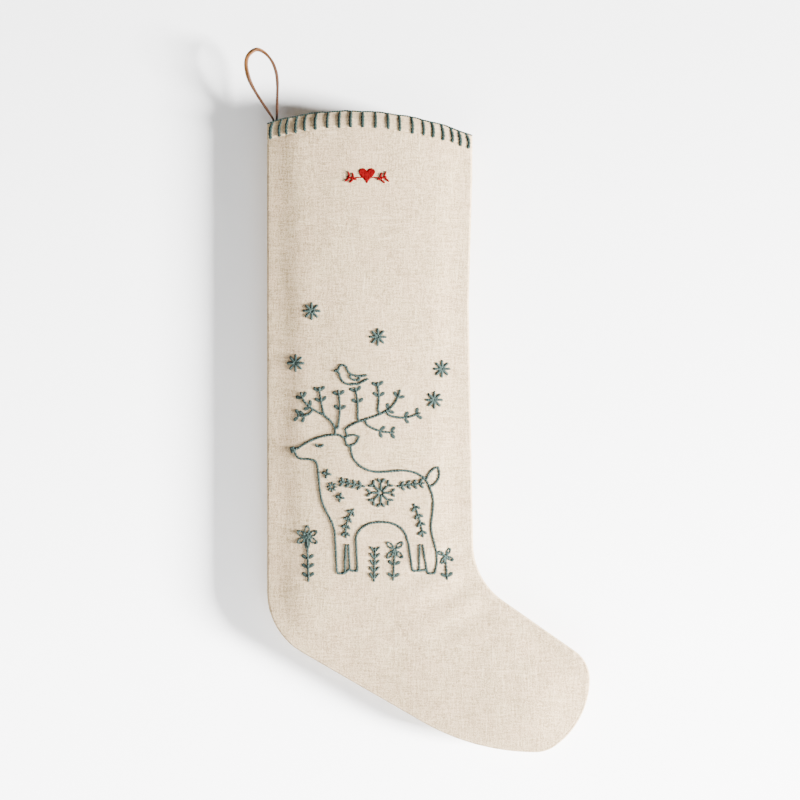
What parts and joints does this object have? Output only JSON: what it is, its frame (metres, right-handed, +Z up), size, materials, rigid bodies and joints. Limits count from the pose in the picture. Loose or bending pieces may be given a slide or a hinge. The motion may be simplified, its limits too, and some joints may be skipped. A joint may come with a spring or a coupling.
{
  "type": "hanging stocking",
  "caption": "Lined linen stocking with an open mouth, blanket-stitched rim, folk embroidery on the front and a leather loop to hang it by.",
  "frame": {"origin": "the hook point: inside the top of the leather loop, where a wall hook's peg carries the stocking", "axes": "+Z up along the leg, +X towards the toe, +Y towards the wall, so the embroidered front faces -Y"},
  "size_m": [0.2737, 0.0348, 0.5568],
  "materials": {
    "linen": "natural slubby linen, plain weave",
    "lining_cotton": "fine plain-weave cotton",
    "natural_thread": "natural sewing thread",
    "wool_thread": "thick slate-green wool thread",
    "green_thread": "slate-green stranded embroidery thread",
    "red_thread": "red satin-stitched embroidery thread",
    "lace_leather": "tan leather lace with dark burnished edges"
  },
  "bodies": {
    "stocking": {"front_panel": "linen", "back_panel": "linen", "front_lining": "lining_cotton", "back_lining": "lining_cotton", "outer_seam_thread": "natural_thread", "lining_seam_thread": "natural_thread", "hem_thread_front": "natural_thread", "hem_thread_back": "natural_thread", "loop_tack": "natural_thread", "blanket_stitch_front": "wool_thread", "blanket_stitch_back": "wool_thread", "loop_tails": "lace_leather", "reindeer_outline": "green_thread", "reindeer_face": "green_thread", "antlers": "green_thread", "antler_leaves": "green_thread", "saddle_ornament": "green_thread", "neck_marks": "green_thread", "leg_sprigs": "green_thread", "bird": "green_thread", "stars": "green_thread", "tall_flower": "green_thread", "meadow_flower": "green_thread", "small_flower": "green_thread", "fern": "green_thread", "red_heart": "red_thread"},
    "loop": {"hanging_loop": "lace_leather"}
  },
  "joints": [
    {"name": "loop_swing", "type": "hinge", "parent": "stocking", "child": "loop", "pos_m": [0.0152, 0, -0.0535], "axis": [0, 1, 0], "range_deg": [-40, 60], "stiffness_Nm_per_rad": 0.004}
  ]
}
